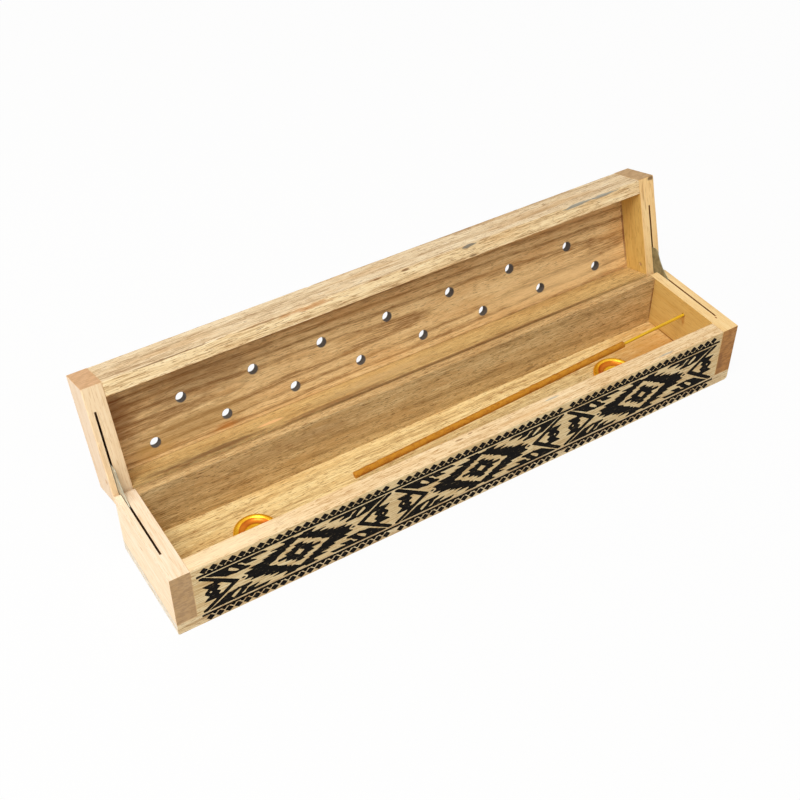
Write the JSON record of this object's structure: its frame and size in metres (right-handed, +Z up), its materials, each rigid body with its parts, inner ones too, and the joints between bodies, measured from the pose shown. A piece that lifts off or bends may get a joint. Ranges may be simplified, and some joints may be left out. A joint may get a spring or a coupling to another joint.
{
  "type": "incense burner box",
  "caption": "Long wooden incense box with a hinged, vented lid, cone dishes on its floor and a stick of incense held in its end board.",
  "frame": {"origin": "centre of the tray's underside", "axes": "+X along the box towards the end that holds the stick, +Y to the back where the lid hinges, +Z up"},
  "size_m": [0.305, 0.0916, 0.0819],
  "materials": {
    "tray_wood": "pale hardwood, planed and waxed, fine brown streaks",
    "lid_wood": "the same hardwood, darker and browner inside the lid",
    "dish_brass": "bright pressed brass, orange gold",
    "hinge_steel": "dull zinc-coated sheet steel",
    "pin_steel": "dull drawn wire",
    "bamboo": "split bamboo, dyed yellow",
    "incense_paste": "rolled wood-powder paste, matt and grainy",
    "band_ink": "flat black printed ink, a little worn, with the grain showing through"
  },
  "bodies": {
    "tray": {"tray_floor": "tray_wood", "tray_front": "tray_wood", "tray_back": "tray_wood", "tray_end_left": "tray_wood", "tray_end_right": "tray_wood", "pivot_pin_left": "pin_steel", "pivot_pin_right": "pin_steel", "dish_left": "dish_brass", "dish_tack_left": "dish_brass", "dish_right": "dish_brass", "dish_tack_right": "dish_brass", "stick_core": "bamboo", "stick_coating": "incense_paste"},
    "lid": {"lid_front": "lid_wood", "lid_back": "lid_wood", "lid_panel": "lid_wood", "lid_end_left": "lid_wood", "lid_end_right": "lid_wood", "hinge_plate_left": "hinge_steel", "hinge_plate_right": "hinge_steel", "lid_pin_left": "pin_steel", "lid_pin_right": "pin_steel", "lid_brad_left": "pin_steel", "lid_brad_right": "pin_steel"}
  },
  "joints": [
    {"name": "lid_hinge", "type": "hinge", "parent": "tray", "child": "lid", "pos_m": [0, 0.0258, 0.0315], "axis": [1, 0, 0], "range_deg": [0, 107.3]}
  ]
}
